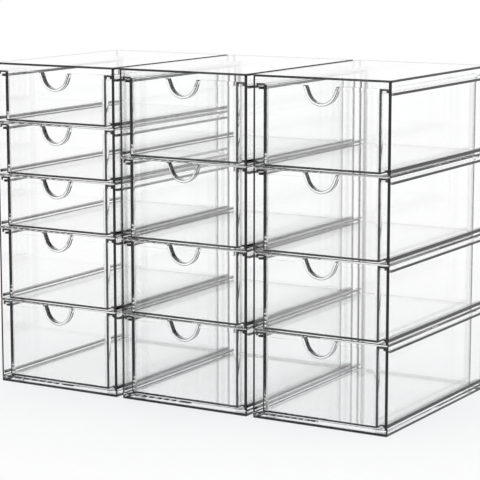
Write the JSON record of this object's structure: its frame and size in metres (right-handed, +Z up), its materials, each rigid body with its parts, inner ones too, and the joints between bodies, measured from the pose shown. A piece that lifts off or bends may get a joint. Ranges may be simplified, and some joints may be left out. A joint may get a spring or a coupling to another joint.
{
  "type": "drawer organizer",
  "caption": "Clear acrylic organizer of side-by-side towers, each a stack of pull-out drawers with half-moon finger notches, hung on runners in open-fronted bays.",
  "frame": {"origin": "on the floor, under the middle of the set, at the bottom centre of its bounding box", "axes": "+X to the right as seen from the front, +Y to the back, drawers open towards -Y, +Z up"},
  "size_m": [0.532, 0.26, 0.396],
  "materials": {
    "case_acrylic": "crystal clear polished acrylic, edges read dark",
    "runner_acrylic": "crystal clear polished acrylic strip",
    "drawer_acrylic": "crystal clear moulded acrylic, glossy",
    "foot_silicone": "translucent soft silicone"
  },
  "bodies": {
    "cabinet": {"left_feet": "foot_silicone", "left_plinth": "case_acrylic", "left_walls_1": "case_acrylic", "left_runners_1": "runner_acrylic", "left_deck_1": "case_acrylic", "left_walls_2": "case_acrylic", "left_runners_2": "runner_acrylic", "left_deck_2": "case_acrylic", "left_walls_3": "case_acrylic", "left_runners_3": "runner_acrylic", "left_deck_3": "case_acrylic", "left_walls_4": "case_acrylic", "left_runners_4": "runner_acrylic", "left_deck_4": "case_acrylic", "left_walls_5": "case_acrylic", "left_runners_5": "runner_acrylic", "left_deck_5": "case_acrylic", "middle_feet": "foot_silicone", "middle_plinth": "case_acrylic", "middle_walls_1": "case_acrylic", "middle_runners_1": "runner_acrylic", "middle_deck_1": "case_acrylic", "middle_walls_2": "case_acrylic", "middle_runners_2": "runner_acrylic", "middle_deck_2": "case_acrylic", "middle_walls_3": "case_acrylic", "middle_runners_3": "runner_acrylic", "middle_deck_3": "case_acrylic", "middle_walls_4": "case_acrylic", "middle_runners_4": "runner_acrylic", "middle_deck_4": "case_acrylic", "right_feet": "foot_silicone", "right_plinth": "case_acrylic", "right_walls_1": "case_acrylic", "right_runners_1": "runner_acrylic", "right_deck_1": "case_acrylic", "right_walls_2": "case_acrylic", "right_runners_2": "runner_acrylic", "right_deck_2": "case_acrylic", "right_walls_3": "case_acrylic", "right_runners_3": "runner_acrylic", "right_deck_3": "case_acrylic", "right_walls_4": "case_acrylic", "right_runners_4": "runner_acrylic", "right_deck_4": "case_acrylic"},
    "left_drawer_1": {"left_drawer_1": "drawer_acrylic"},
    "left_drawer_2": {"left_drawer_2": "drawer_acrylic"},
    "left_drawer_3": {"left_drawer_3": "drawer_acrylic"},
    "left_drawer_4": {"left_drawer_4": "drawer_acrylic"},
    "left_drawer_5": {"left_drawer_5": "drawer_acrylic"},
    "middle_drawer_1": {"middle_drawer_1": "drawer_acrylic"},
    "middle_drawer_2": {"middle_drawer_2": "drawer_acrylic"},
    "middle_drawer_3": {"middle_drawer_3": "drawer_acrylic"},
    "middle_drawer_4": {"middle_drawer_4": "drawer_acrylic"},
    "right_drawer_1": {"right_drawer_1": "drawer_acrylic"},
    "right_drawer_2": {"right_drawer_2": "drawer_acrylic"},
    "right_drawer_3": {"right_drawer_3": "drawer_acrylic"},
    "right_drawer_4": {"right_drawer_4": "drawer_acrylic"}
  },
  "joints": [
    {"name": "left_drawer_1_slide", "type": "slide", "parent": "cabinet", "child": "left_drawer_1", "axis": [0, -1, 0], "range_m": [0, 0.165]},
    {"name": "left_drawer_2_slide", "type": "slide", "parent": "cabinet", "child": "left_drawer_2", "axis": [0, -1, 0], "range_m": [0, 0.165]},
    {"name": "left_drawer_3_slide", "type": "slide", "parent": "cabinet", "child": "left_drawer_3", "axis": [0, -1, 0], "range_m": [0, 0.165]},
    {"name": "left_drawer_4_slide", "type": "slide", "parent": "cabinet", "child": "left_drawer_4", "axis": [0, -1, 0], "range_m": [0, 0.165]},
    {"name": "left_drawer_5_slide", "type": "slide", "parent": "cabinet", "child": "left_drawer_5", "axis": [0, -1, 0], "range_m": [0, 0.165]},
    {"name": "middle_drawer_1_slide", "type": "slide", "parent": "cabinet", "child": "middle_drawer_1", "axis": [0, -1, 0], "range_m": [0, 0.165]},
    {"name": "middle_drawer_2_slide", "type": "slide", "parent": "cabinet", "child": "middle_drawer_2", "axis": [0, -1, 0], "range_m": [0, 0.165]},
    {"name": "middle_drawer_3_slide", "type": "slide", "parent": "cabinet", "child": "middle_drawer_3", "axis": [0, -1, 0], "range_m": [0, 0.165]},
    {"name": "middle_drawer_4_slide", "type": "slide", "parent": "cabinet", "child": "middle_drawer_4", "axis": [0, -1, 0], "range_m": [0, 0.165]},
    {"name": "right_drawer_1_slide", "type": "slide", "parent": "cabinet", "child": "right_drawer_1", "axis": [0, -1, 0], "range_m": [0, 0.165]},
    {"name": "right_drawer_2_slide", "type": "slide", "parent": "cabinet", "child": "right_drawer_2", "axis": [0, -1, 0], "range_m": [0, 0.165]},
    {"name": "right_drawer_3_slide", "type": "slide", "parent": "cabinet", "child": "right_drawer_3", "axis": [0, -1, 0], "range_m": [0, 0.165]},
    {"name": "right_drawer_4_slide", "type": "slide", "parent": "cabinet", "child": "right_drawer_4", "axis": [0, -1, 0], "range_m": [0, 0.165]}
  ]
}
